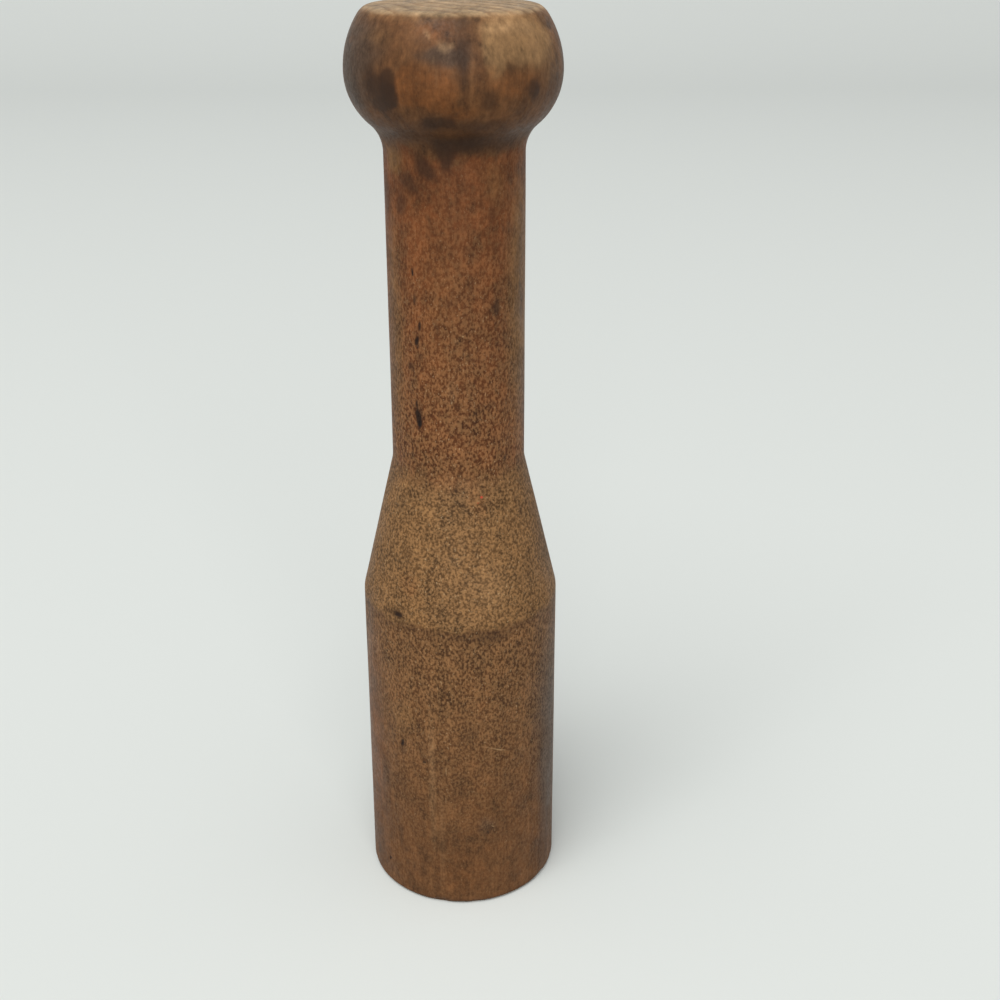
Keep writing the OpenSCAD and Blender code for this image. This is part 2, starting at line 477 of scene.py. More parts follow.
@dataclass(frozen=True)
class Barrel:
    """The straight-sided pounding end, from the flat face it stands on up to its shoulder."""

    nicks: int = 15
    marks: tuple[Mark, ...] = (
        # Darker patches just under the shoulder's edge.
        Mark(Layer.DIRT_AND_SHADE, 18.0, 50.6, 4.2, 1.8, strength=0.45),
        Mark(Layer.DIRT_AND_SHADE, 2.0, 51.0, 3.6, 1.2, strength=0.3),
        Mark(Layer.OLIVE, -38.0, 35.0, 3.8, 4.6, strength=0.45),
        Mark(Layer.ASHEN_AND_SHADE, -38.0, 33.6, 2.6, 2.4, strength=0.3),
        Mark(Layer.BRUISE, -38.5, 30.0, 0.6, 1.3, lean=16, strength=0.7, dent=0.07),
        Mark(Layer.DIRT_AND_SHADE, -38.0, 29.4, 1.8, 2.8, strength=0.36),
        Mark(Layer.BRUISE, -23.3, 27.8, 0.6, 0.7, strength=0.6, dent=0.05),
        Mark(Layer.DIRT_AND_SHADE, -18.0, 37.8, 0.5, 0.7, strength=0.5),
        Mark(Layer.DIRT_AND_SHADE, 3.9, 34.2, 2.8, 2.8, strength=0.32),
        Mark(Layer.DIRT_AND_SHADE, 39.4, 33.0, 0.7, 0.9, strength=0.5),
        Mark(Layer.DIRT_AND_SHADE, 59.0, 41.4, 1.1, 3.8, strength=0.4),
        # A long grey-dark strip down the barrel's right side: painted shade on that side.
        Mark(Layer.ASHEN_AND_SHADE, 68.0, 27.0, 6.8, 34.0, strength=0.9),
        Mark(Layer.SMOOTH, 72.0, 26.0, 8.0, 34.0, strength=0.7),
        Mark(Layer.ASHEN_AND_SHADE, 48.0, 36.0, 3.8, 11.0, strength=0.35),
        Mark(Layer.WARM, -72.0, 27.0, 6.6, 32.0, strength=0.7),
        Mark(Layer.SMOOTH, -70.0, 26.0, 8.0, 36.0, strength=0.9),
        Mark(Layer.PALE, -18.4, 24.0, 0.9, 20.0, strength=0.2),
        Mark(Layer.PALE, -13.0, 14.0, 0.8, 15.0, strength=0.1),
        Mark(Layer.BRUISE, 15.0, 14.4, 0.6, 1.3, lean=-14, strength=0.55, dent=0.05),
        Mark(Layer.ASHEN_AND_SHADE, 14.0, 15.4, 2.4, 3.2, strength=0.6),
        Mark(Layer.DIRT_AND_SHADE, -41.6, 11.6, 1.1, 4.0, strength=0.45),
        Mark(Layer.DIRT_AND_SHADE, -25.0, 16.0, 0.7, 6.0, strength=0.22),
        Mark(Layer.BRUISE, -53.2, 4.9, 0.5, 0.55, strength=0.75, dent=0.06),
        Mark(Layer.DIRT_AND_SHADE, 33.5, 22.4, 1.4, 0.5, lean=-70, strength=0.28),
        Mark(Layer.DIRT_AND_SHADE, 60.0, 5.0, 7.0, 5.0, strength=0.25),
        Mark(Layer.WARM, -2.0, 6.0, 7.5, 7.5, strength=0.35),
        Mark(Layer.WARM, 8.0, 42.0, 7.5, 7.5, strength=0.3),
        Mark(Layer.ASHEN_AND_SHADE, 96, 20.0, 5.0, 18.0, strength=0.6),
        Mark(Layer.BRUISE, 92, 33.6, 0.6, 1.5, lean=-12, strength=0.9, dent=0.10),
        Mark(Layer.WARM, 116, 34.0, 6.0, 18.0, strength=0.6),
        Mark(Layer.DIRT_AND_SHADE, 127, 12.4, 1.5, 3.2, strength=0.5),
        Mark(Layer.BRUISE, 152, 41.0, 0.6, 0.9, strength=0.8, dent=0.07),
        Mark(Layer.OLIVE, 166, 22.0, 6.0, 20.0, strength=0.6),
        Mark(Layer.PALE, 173, 20.0, 0.9, 18.0, strength=0.2),
        Mark(Layer.DIRT_AND_SHADE, -172, 46.0, 3.6, 2.4, strength=0.45),
        Mark(Layer.BRUISE, -161, 17.4, 0.55, 1.3, lean=9, strength=0.9, dent=0.08),
        Mark(Layer.ASHEN_AND_SHADE, -148, 30.0, 5.0, 15.0, strength=0.6),
        Mark(Layer.WARM, -126, 16.0, 6.0, 15.0, strength=0.6),
        Mark(Layer.DIRT_AND_SHADE, -118, 38.2, 1.8, 2.0, strength=0.55),
        Mark(Layer.BRUISE, -97, 23.6, 0.5, 1.1, strength=0.8, dent=0.06),
    )
    bands: tuple[Band, ...] = (
        # A darker band just under the shoulder's edge.
        Band(Layer.DIRT_AND_SHADE, 49.6, 52.7, 2.4, 0.7, 0.34, 0.4),
        # Darker towards the edge of the pounding face.
        Band(Layer.DIRT_AND_SHADE, -1.0, 2.0, 0.5, 1.8, 0.25, 0.4),
        Band(Layer.END, -1.0, 0.12, 0.5, 0.1, 1.0, 0.0),
    )
    fine: tuple[FineMark, ...] = (
        FineMark(SCORED, 20.5, 30.25, 15.6, 0.10, 3.3, 112.5, 0.6, 0.02),
        FineMark(SCORED, 22.0, 30.0, 15.6, 0.13, 1.4, 111.0, 0.5),
        FineMark(SCORED, -9.9, 26.6, 15.65, 0.11, 1.2, 0.0, 0.65),
        FineMark(SCORED, -10.4, 21.0, 15.65, 0.10, 1.0, 0.0, 0.35),
        FineMark(SCORED, 17.9, 15.3, 15.65, 0.12, 0.42, -60.0, 0.7),
        FineMark(SCORED, 5.5, 40.6, 15.6, 0.07, 1.5, 96.0, 0.35),
        FineMark(SCORED, 139, 25.0, 15.65, 0.10, 3.4, 64.0, 0.55, 0.02),
        FineMark(SCORED, -104, 12.0, 15.65, 0.10, 2.4, -70.0, 0.55, 0.02),
        FineMark(PIT, -38.5, 30.0, 15.6, 0.20, 0.55, 16.0, 0.6, 0.03),
        FineMark(PIT, 15.0, 14.2, 15.65, 0.18, 0.50, -14.0, 0.5, 0.03),
    )

    def chips(self, seed: int) -> list[Mark]:
        """Small chips round the worn edge of the pounding face.

        Args:
            seed: Seeds where the chips lie and how large they are.

        Returns:
            One mark for each chip.
        """
        draw = random.Random(seed)
        found = []
        for _ in range(self.nicks):
            azimuth = draw.uniform(-180, 180)
            wide = draw.uniform(0.5, 1.6)
            dent = draw.uniform(0.04, 0.14)
            found.append(Mark(Layer.DIRT_AND_SHADE, azimuth, 0.35, wide, 0.6, strength=0.4, dent=dent))
        return found


class PaintedGrid:
    """The layers of marks over the turned grid, one value for each vertex, and the depth of its dents."""

    def __init__(self, stations: list[Station], around: int) -> None:
        """Starts with clean wood.

        Args:
            stations: The grid's rings.
            around: The number of vertices in each ring.
        """
        self.stations = stations
        self.around = around
        size = len(stations) * around
        self.layers = {layer: [0.0] * size for layer in Layer}
        self.dents = [0.0] * size
        self.stray = [0.0] * size
        for row, ring in enumerate(stations):
            for column in range(around):
                turn = math.tau * column / around
                place = Vector((math.sin(turn) * ring.radius, -math.cos(turn) * ring.radius, ring.height))
                coarse = noise.noise(place * 0.45)
                fine = noise.noise(place * 1.5 + Vector((40.0, 7.0, 3.0)))
                self.stray[row * around + column] = 1.3 * coarse + 0.7 * fine

    def _blend(self, layer: Layer, index: int, value: float) -> None:
        """Lays a value over what a layer holds at one vertex.

        Args:
            layer: The layer that it adds to.
            index: The vertex.
            value: From 0 to 1.
        """
        held = self.layers[layer]
        held[index] = 1 - (1 - held[index]) * (1 - value)

    def lay_band(self, band: Band) -> None:
        """Lays a band on its layer.

        Args:
            band: The band.
        """
        for row, ring in enumerate(self.stations):
            if band.low - 3 < ring.height < band.high + 3:
                for index in range(row * self.around, (row + 1) * self.around):
                    value = band.value(ring.height, self.stray[index])
                    if value > 0:
                        self._blend(band.layer, index, value)

    def _run_at(self, height: float) -> float:
        """Returns the run along the outline at a height."""
        for low, high in zip(self.stations, self.stations[1:]):
            if low.height <= height < high.height:
                share = (height - low.height) / (high.height - low.height)
                return low.run + share * (high.run - low.run)
        return self.stations[-1].run

    def lay_mark(self, mark: Mark) -> None:
        """Lays a mark on its layer, and presses its dent.

        Args:
            mark: The mark.
        """
        size = math.sqrt(mark.wide * mark.tall)
        ragged = min(mark.ragged / size, 0.35)
        reach = max(mark.wide, mark.tall) * (1 + 2 * ragged)
        middle = self._run_at(mark.height)
        for row, ring in enumerate(self.stations):
            up = ring.run - middle
            if abs(up) > reach:
                continue
            for column in range(self.around):
                turn = (360 * column / self.around - mark.azimuth + 180) % 360 - 180
                across = math.radians(turn) * ring.radius
                if abs(across) > reach:
                    continue
                index = row * self.around + column
                distance = mark.distance(across, up)
                edge = distance + ragged * self.stray[index]
                value = mark.strength * (1 - eased(edge, 1 - mark.soft, 1.0))
                if value > 0:
                    self._blend(mark.layer, index, value)
                if mark.dent and distance < 1.3:
                    self.dents[index] += mark.dent * (1 - eased(distance, 0.0, 1.3))


@dataclass(frozen=True)
class Relief:
    """How far the hand-turned, worn surface lies inside the true outline. Millimetres, never negative."""

    least: float = 0.03
    oval: float = 0.05
    oval_turn: float = 20.0
    swell: float = 0.07
    fibre: float = 0.022
    tool_ring: float = 0.014
    tool_pitch: float = 1.35
    foot_hollow: float = 0.12

    def depth(self, place: Vector, ring: Station, turn: float, end: float) -> float:
        """Depth of the surface at one point, without its dents.

        Args:
            place: The point on the true outline.
            ring: The ring that the point is on.
            turn: The point's azimuth in radians.
            end: How far the point is on the knob's end face, from 0 to 1.

        Returns:
            The depth.
        """
        if ring.out_up < -0.9:
            hollow = self.foot_hollow * (1 - eased(ring.radius, 3.0, 14.0))
            return hollow + 0.01 * (1 + noise.noise(place * 0.9))
        across = 0.5 - 0.5 * math.cos(2 * (turn - math.radians(self.oval_turn)))
        slow = 0.5 + 0.5 * noise.noise(Vector((place.x * 0.16, place.y * 0.16, place.z * 0.07)))
        thread = 0.5 + 0.5 * noise.noise(Vector((place.x * 1.1, place.y * 1.1, place.z * 0.10)))
        tool = 0.5 + 0.5 * math.sin(math.tau * ring.run / self.tool_pitch)
        side = self.oval * across + self.swell * slow + self.fibre * thread
        return self.least + (1 - 0.6 * end) * side + self.tool_ring * end * tool


class Value:
    """A number that a socket of a node gives, so that shader maths reads as plain arithmetic."""

    def __init__(self, graph: "Graph", socket: bpy.types.NodeSocket) -> None:
        """Wraps a socket.

        Args:
            graph: The graph that the socket is in.
            socket: The output socket.
        """
        self.graph = graph
        self.socket = socket

    def _math(self, operation: str, first: "Value | float", second: "Value | float") -> "Value":
        """Adds a Math node.

        Args:
            operation: Blender's name for the operation.
            first: The first operand.
            second: The second operand.

        Returns:
            The result.
        """
        return self.graph.value("ShaderNodeMath", {"operation": operation}, {0: first, 1: second})

    def __add__(self, other: "Value | float") -> "Value":
        """Returns self + other."""
        return self._math("ADD", self, other)

    def __radd__(self, other: float) -> "Value":
        """Returns other + self."""
        return self._math("ADD", other, self)

    def __sub__(self, other: "Value | float") -> "Value":
        """Returns self - other."""
        return self._math("SUBTRACT", self, other)

    def __rsub__(self, other: float) -> "Value":
        """Returns other - self."""
        return self._math("SUBTRACT", other, self)

    def __mul__(self, other: "Value | float") -> "Value":
        """Returns self * other."""
        return self._math("MULTIPLY", self, other)

    def __rmul__(self, other: float) -> "Value":
        """Returns other * self."""
        return self._math("MULTIPLY", other, self)

    def __truediv__(self, other: "Value | float") -> "Value":
        """Returns self / other."""
        return self._math("DIVIDE", self, other)

    def fraction(self) -> "Value":
        """Returns what is left of self above the whole number below it."""
        return self._math("FRACT", self, 0.0)

    def root(self) -> "Value":
        """Returns the square root of self."""
        return self._math("SQRT", self, 0.0)

    def step(self, low: float, high: float) -> "Value":
        """Smooth step of self.

        Args:
            low: Where the step begins.
            high: Where the step ends.

        Returns:
            0 below low, 1 above high, and a smooth curve between them.
        """
        settings = {"interpolation_type": "SMOOTHSTEP", "clamp": True}
        sockets = {"Value": self, "From Min": low, "From Max": high}
        return self.graph.value("ShaderNodeMapRange", settings, sockets)


class Graph:
    """Adds nodes to one node tree."""

    def __init__(self, tree: bpy.types.NodeTree) -> None:
        """Empties the tree.

        Args:
            tree: The node tree of a material or of the world.
        """
        self.tree = tree
        tree.nodes.clear()

    def node(self, kind: str, settings: dict | None = None, values: dict | None = None) -> bpy.types.Node:
        """Adds a node, sets it up and fills its sockets.

        Args:
            kind: Blender's name for the node type.
            settings: The node's own settings, which are set first.
            values: What each input socket gets, a Value, an output socket or a constant, by name or place.

        Returns:
            The node.
        """
        made = self.tree.nodes.new(kind)
        for name, setting in (settings or {}).items():
            setattr(made, name, setting)
        for name, given in (values or {}).items():
            socket = made.inputs[name]
            if isinstance(given, Value):
                self.tree.links.new(given.socket, socket)
            elif isinstance(given, bpy.types.NodeSocket):
                self.tree.links.new(given, socket)
            else:
                socket.default_value = given
        return made

    def value(
        self, kind: str, settings: dict | None = None, values: dict | None = None, output: int | str = 0
    ) -> Value:
        """Adds a node and wraps one of its outputs.

        Args:
            kind: Blender's name for the node type.
            settings: The node's own settings.
            values: What each input socket gets.
            output: The output's name or place.

        Returns:
            The output as a value.
        """
        return Value(self, self.node(kind, settings, values).outputs[output])

    def layer(self, layer: Layer) -> Value:
        """Returns a layer of marks as the mesh holds it."""
        return self.value("ShaderNodeAttribute", {"attribute_name": layer.value}, output="Fac")

    def vector(self, x: Value | float, y: Value | float, z: Value | float) -> bpy.types.NodeSocket:
        """Joins three numbers into a vector.

        Args:
            x: The first number.
            y: The second number.
            z: The third number.

        Returns:
            The vector's socket.
        """
        return self.node("ShaderNodeCombineXYZ", None, {0: x, 1: y, 2: z}).outputs[0]

    def stretched(self, place: bpy.types.NodeSocket, scale: tuple[float, float, float]) -> bpy.types.NodeSocket:
        """Scales a place along each axis.

        Args:
            place: The place's socket.
            scale: The factor along each axis.

        Returns:
            The scaled place's socket.
        """
        return self.node("ShaderNodeVectorMath", {"operation": "MULTIPLY"}, {0: place, 1: scale}).outputs[0]

    def noise(self, place: bpy.types.NodeSocket, detail: float, rough: float = 0.5, bend: float = 0.0) -> Value:
        """Smooth noise, from 0 to 1 about 0.5, whose patches are about one unit of the place apart.

        Args:
            place: Where to look the noise up.
            detail: How many finer octaves it has.
            rough: How strong the finer octaves are.
            bend: How far the noise is bent by itself.

        Returns:
            The noise.
        """
        sockets = {"Vector": place, "Scale": 1.0, "Detail": detail, "Roughness": rough, "Distortion": bend}
        return self.value("ShaderNodeTexNoise", None, sockets)

    def near(self, place: bpy.types.NodeSocket, mark: FineMark) -> Value:
        """How near a place is to a crisp mark.

        Args:
            place: The place in millimetres.
            mark: The mark.

        Returns:
            1 inside the mark, falling to 0 at its edge.
        """
        turn = math.radians(mark.azimuth)
        middle = (mark.radius * math.sin(turn), -mark.radius * math.cos(turn), mark.height)
        across = mark.tall * math.sin(math.radians(mark.lean))
        through = 0.8 + across * across / mark.radius
        settings = {"vector_type": "TEXTURE"}
        sockets = {
            "Vector": place,
            "Location": middle,
            "Rotation": (-math.radians(mark.lean), 0.0, turn - math.pi / 2),
            "Scale": (through, mark.wide, mark.tall),
        }
        local = self.node("ShaderNodeMapping", settings, sockets).outputs[0]
        far = self.value("ShaderNodeVectorMath", {"operation": "LENGTH"}, {0: local}, "Value")
        return 1 - far.step(0.35, 1.0)

    def mix(
        self, share: Value | float, first: bpy.types.NodeSocket | tuple, second: bpy.types.NodeSocket | tuple
    ) -> bpy.types.NodeSocket:
        """Mixes two colours.

        Args:
            share: How much of the second colour shows.
            first: The first colour.
            second: The second colour.

        Returns:
            The mixed colour's socket.
        """
        sockets = {"Factor": share, 6: first, 7: second}
        return self.node("ShaderNodeMix", {"data_type": "RGBA"}, sockets).outputs[2]

    def dimmed(self, colour: bpy.types.NodeSocket, factor: Value | float) -> bpy.types.NodeSocket:
        """Scales a colour's strength.

        Args:
            colour: The colour's socket.
            factor: 1 leaves it as it is.

        Returns:
            The scaled colour's socket.
        """
        sockets = {0: colour, "Scale": factor}
        return self.node("ShaderNodeVectorMath", {"operation": "SCALE"}, sockets).outputs[0]


@dataclass(frozen=True)
class Grain:
    """The fine structure of the cut surface, each part from 0 to 1."""

    speck: Value
    fibre: Value
    pores: Value
    lively: Value


@dataclass(frozen=True)
class TurnedWood:
    """Bare, hand-darkened, close-grained hardwood. The pith lies outside the blank, at the back right."""

    name: str = "turned_wood"
    heart: Tone = Tone(108, 71, 41)
    streak: Tone = Tone(126, 87, 53)
    red: Tone = Tone(116, 67, 35)
    # Grey-brown, also used for painted shade on the barrel's right side.
    ash_and_shade_tone: Tone = Tone(80, 60, 45)
    olive: Tone = Tone(126, 90, 53)
    tan: Tone = Tone(138, 105, 69)
    warm: Tone = Tone(118, 73, 38)
    pale: Tone = Tone(176, 140, 100)
    end: Tone = Tone(162, 134, 100)
    end_late: Tone = Tone(132, 102, 72)
    # Dark brown for grime and for painted shade under the knob.
    dirt_and_shade_tone: Tone = Tone(50, 32, 20)
    bruise: Tone = Tone(30, 19, 14)
    # Pale fibre ends, also the lit side of the painted specks.
    fleck_and_glint_tone: Tone = Tone(176, 134, 88)
    # Pale colour of the painted glints.
    painted_glint: Tone = Tone(205, 172, 128)
    pith_x: float = 12.5
    pith_y: float = 14.5
    pith_lean: float = 0.012
    ring_pitch: float = 2.3
    rough: float = 0.58
    gloss: float = 0.2
    fine: tuple[FineMark, ...] = ()

    def build(self) -> bpy.types.Material:
        """Returns the finish as a node-based material."""
        material = bpy.data.materials.new(self.name)
        material.use_nodes = True
        graph = Graph(material.node_tree)
        texture = graph.node("ShaderNodeTexCoord")
        place = graph.stretched(texture.outputs["Object"], (1000.0, 1000.0, 1000.0))
        apart = graph.node("ShaderNodeSeparateXYZ", None, {0: place})
        x, y, z = (Value(graph, socket) for socket in apart.outputs)

        rings, rays = self._growth(graph, place, x, y, z)
        grain = self._grain(graph, place)
        fine = [(mark, graph.near(place, mark)) for mark in self.fine]
        shader = graph.node(
            "ShaderNodeBsdfPrincipled",
            None,
            {
                "Base Color": self._colour(graph, place, rings, rays, grain, fine),
                "Roughness": self._roughness(graph, place, grain),
                "Specular IOR Level": self.gloss,
                "Normal": self._bump(graph, grain, rings, fine),
            },
        )
        graph.node("ShaderNodeOutputMaterial", None, {"Surface": shader.outputs[0]})
        return material

    def _growth(
        self, graph: Graph, place: bpy.types.NodeSocket, x: Value, y: Value, z: Value
    ) -> tuple[Value, Value]:
        """Growth rings round the pith, and the rays that run out from it.

        Args:
            graph: The material's graph.
            place: The place in millimetres.
            x: Its first part.
            y: Its second part.
            z: Its third part.

        Returns:
            Late wood from 0 to 1 in each ring, and the rays from 0 to 1.
        """
        across = x - self.pith_x - z * self.pith_lean
        deep = y - self.pith_y + z * (0.7 * self.pith_lean)
        out = (across * across + deep * deep).root()
        wander = graph.noise(graph.stretched(place, (0.13, 0.13, 0.022)), 2.0)
        width = graph.noise(graph.stretched(place, (0.06, 0.06, 0.01)), 1.0)
        phase = ((out + 3.4 * wander) / self.ring_pitch + 1.6 * width).fraction()
        late = phase.step(0.35, 0.92) * (1 - phase.step(0.93, 1.0))
        turn = graph.value("ShaderNodeMath", {"operation": "ARCTAN2"}, {0: across, 1: 0.0 - deep})
        sheet = graph.vector(turn * 95.0, out * 0.26, z * 1.15)
        rays = graph.noise(sheet, 1.0, 0.6).step(0.56, 0.72)
        return late, rays

    def _grain(self, graph: Graph, place: bpy.types.NodeSocket) -> Grain:
        """The fine structure of the cut surface.

        Args:
            graph: The material's graph.
            place: The place in millimetres.

        Returns:
            The specks, fibres and pores, and how lively they are.
        """
        opened = graph.layer(Layer.OPEN)
        smooth = graph.layer(Layer.SMOOTH)
        upright = graph.noise(graph.stretched(place, (2.7, 2.7, 1.75)), 2.0, 0.6)
        pebble = graph.noise(graph.stretched(place, (2.5, 2.5, 2.3)), 2.0, 0.6)
        speck = (upright * (1 - opened) + pebble * opened).step(0.36, 0.64)
        fibre = graph.noise(graph.stretched(place, (3.0, 3.0, 0.3)), 2.0, 0.6)
        pores = graph.noise(graph.stretched(place, (6.0, 6.0, 0.8)), 1.0).step(0.66, 0.78)
        lively = (0.2 + 0.8 * graph.layer(Layer.FUZZ)) * (1 - 0.6 * smooth)
        return Grain(speck, fibre, pores, lively)

    def _colour(
        self,
        graph: Graph,
        place: bpy.types.NodeSocket,
        rings: Value,
        rays: Value,
        grain: Grain,
        fine: list[tuple[FineMark, Value]],
    ) -> bpy.types.NodeSocket:
        """The wood's colour, from its broad patches down to its pores, with painted glints and shade in its
        fine specks.

        Args:
            graph: The material's graph.
            place: The place in millimetres.
            rings: Late wood in each growth ring.
            rays: The rays.
            grain: The fine structure.
            fine: The crisp marks, each with how near the place is to it.

        Returns:
            The colour's socket.
        """
        end = graph.layer(Layer.END)
        long_streak = graph.noise(graph.stretched(place, (0.8, 0.8, 0.04)), 3.0, 0.6)
        cloud = graph.noise(graph.stretched(place, (0.26, 0.26, 0.19)), 3.0, 0.6, 0.5)
        mottle = graph.noise(graph.stretched(place, (0.95, 0.95, 0.7)), 3.0, 0.6)

        colour = graph.mix(long_streak.step(0.42, 0.75) * 0.5, self.heart.linear(), self.streak.linear())
        for layer, tone in (
            (Layer.RED, self.red),
            (Layer.ASHEN_AND_SHADE, self.ash_and_shade_tone),
            (Layer.OLIVE, self.olive),
            (Layer.TAN, self.tan),
            (Layer.WARM, self.warm),
        ):
            patchy = graph.layer(layer) * (0.4 + 0.7 * cloud + 0.5 * mottle)
            colour = graph.mix(patchy.step(0.0, 1.0), colour, tone.linear())
        end_tone = graph.mix(rings * (0.3 + 0.8 * cloud), self.end.linear(), self.end_late.linear())
        colour = graph.mix(end, colour, end_tone)
        colour = graph.mix(graph.layer(Layer.PALE) * (0.3 + 1.4 * mottle), colour, self.pale.linear())

        broad = 1.0 + (cloud - 0.5) * 1.5 + (mottle - 0.5) * 1.3 + (long_streak - 0.5) * 0.5
        broad = broad + (grain.fibre - 0.5) * 0.35 + rays * 0.10 - rings * (0.09 - 0.07 * end)
        colour = graph.dimmed(colour, broad - grain.pores * 0.25)

        # Painted light and shade in the specks, partly the pale ends of raised fibres: lit and shaded copies of
        # the colour stand for how the fuzz catches the light.
        shaded_speck = graph.dimmed(colour, 0.55)
        lit_speck = graph.mix(0.42, graph.dimmed(colour, 1.22), self.fleck_and_glint_tone.linear())
        colour = graph.mix(grain.lively, colour, graph.mix(grain.speck, shaded_speck, lit_speck))
        # Painted glints: sparse pale points where the fuzz would catch the light.
        painted_glint = graph.noise(graph.stretched(place, (3.6, 3.6, 2.4)), 1.0).step(0.64, 0.78)
        colour = graph.mix(painted_glint * grain.lively * 0.5, colour, self.painted_glint.linear())

        # Grime and painted shade: dirt spots and chips, and the darker hollow under the knob.
        dirt_and_shade = (0.45 + 0.5 * mottle + 0.6 * cloud) * graph.layer(Layer.DIRT_AND_SHADE)
        colour = graph.mix(dirt_and_shade.step(0.0, 1.05) * 0.94, colour, self.dirt_and_shade_tone.linear())
        bruised = graph.layer(Layer.BRUISE)
        pressed = bruised + (grain.speck - 0.5) * 0.22 * bruised.step(0.0, 0.3)
        colour = graph.mix(pressed.step(0.15, 0.7) * 0.92, colour, self.bruise.linear())
        for mark, near in fine:
            colour = graph.mix(near * mark.strength, colour, mark.tone.linear())
        return colour

    def _roughness(self, graph: Graph, place: bpy.types.NodeSocket, grain: Grain) -> Value:
        """How dull the wood is: hands have smoothed the knob, and bruises are dull.

        Args:
            graph: The material's graph.
            place: The place in millimetres.
            grain: The fine structure.

        Returns:
            The roughness.
        """
        smear = graph.noise(graph.stretched(place, (0.3, 0.3, 0.2)), 3.0)
        dull = self.rough - 0.1 * graph.layer(Layer.SMOOTH) + 0.2 * graph.layer(Layer.BRUISE)
        return dull + (smear - 0.5) * 0.3 - (grain.speck - 0.5) * 0.12

    def _bump(
        self, graph: Graph, grain: Grain, rings: Value, fine: list[tuple[FineMark, Value]]
    ) -> bpy.types.NodeSocket:
        """Relief too fine for the mesh, in millimetres.

        Args:
            graph: The material's graph.
            grain: The fine structure.
            rings: Late wood in each growth ring.
            fine: The crisp marks, each with how near the place is to it.

        Returns:
            The normal's socket.
        """
        raised = (grain.speck * 0.030 + grain.fibre * 0.02 - grain.pores * 0.02) * grain.lively + rings * 0.006
        for mark, near in fine:
            if mark.deep:
                raised = raised - near * mark.deep
        bump = graph.node("ShaderNodeBump", None, {"Strength": 1.0, "Distance": MM, "Height": raised})
        return bump.outputs[0]


@dataclass(frozen=True)
class Pestle:
    """The pestle: one turned piece, whose knob, handle, cone and barrel are stretches of the same wood."""

    node: str = "pestle"
    body: str = "root"
    slot: str = "turned_wood"
    around: int = 256
    step: float = 0.45
    foot_step: float = 1.5
    chip_seed: int = 11
    knob: Knob = Knob()
    handle: Handle = Handle()
    cone: Cone = Cone()
    barrel: Barrel = Barrel()
    relief: Relief = Relief()

    def build(self, solid: bpy.types.Object) -> bpy.types.Object:
        """Builds the piece on the solid's outline and puts it in the solid's place.

        Args:
            solid: The CAD node that it stands for.

        Returns:
            The piece.
        """
        stations = Outline.of_node(solid).stations(self.step, self.foot_step)
        grid = PaintedGrid(stations, self.around)
        for part in self.parts():
            for band in part.bands:
                grid.lay_band(band)
            for mark in part.marks:
                grid.lay_mark(mark)
        for chip in self.barrel.chips(self.chip_seed):
            grid.lay_mark(chip)
        piece = self._mesh(grid, stations[-1].height)
        self.dress(piece)
        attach(piece, self.body)
        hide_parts(self.node)
        log.info("%s: %d faces over %d rings", piece.name, len(piece.data.polygons), len(stations))
        return piece

    def _mesh(self, grid: PaintedGrid, crown: float) -> bpy.types.Object:
        """Turns the grid into a closed mesh, with its layers as attributes.

        Args:
            grid: The rings and their layers.
            crown: Height of the topmost ring.

        Returns:
            The new object.
        """
        count = self.around
        end = grid.layers[Layer.END]
        places = []
        for row, ring in enumerate(grid.stations):
            for column in range(count):
                turn = math.tau * column / count
                index = row * count + column
                way = Vector((math.sin(turn), -math.cos(turn), 0.0))
                place = way * ring.radius + Vector((0.0, 0.0, ring.height))
                depth = self.relief.depth(place, ring, turn, end[index]) + grid.dents[index]
                place -= (way * ring.out_radial + Vector((0.0, 0.0, ring.out_up))) * depth
                places.append(place * MM)
        rows = len(grid.stations)
        faces = []
        for row in range(rows - 1):
            for column in range(count):
                a = row * count + column
                b = row * count + (column + 1) % count
                faces.append((a, b, b + count, a + count))
        low = len(places)
        foot = sum((places[k] for k in range(count)), Vector()) / count
        top = sum((places[(rows - 1) * count + k] for k in range(count)), Vector()) / count
        places += [foot, top]
        for column in range(count):
            after = (column + 1) % count
            faces.append((after, column, low))
            faces.append(((rows - 1) * count + column, (rows - 1) * count + after, low + 1))
        mesh = bpy.data.meshes.new("turned_pestle")
        mesh.from_pydata(places, [], faces)
        mesh.validate()
        mesh.shade_smooth()
        for layer, values in grid.layers.items():
            held = mesh.attributes.new(layer.value, "FLOAT", "POINT")
            held.data.foreach_set("value", values + [values[0], values[-1]])
        piece = bpy.data.objects.new("turned_pestle", mesh)
        bpy.context.scene.collection.objects.link(piece)
        return piece

    def dress(self, piece: bpy.types.Object) -> None:
        """Gives the piece its finish.

        Args:
            piece: The piece.
        """
        fine = tuple(mark for part in self.parts() for mark in part.fine)
        piece.data.materials.append(TurnedWood(fine=fine).build())

    def parts(self) -> tuple[Barrel, Cone, Handle, Knob]:
        """Returns the stretches of the turning from the foot up."""
        return (self.barrel, self.cone, self.handle, self.knob)


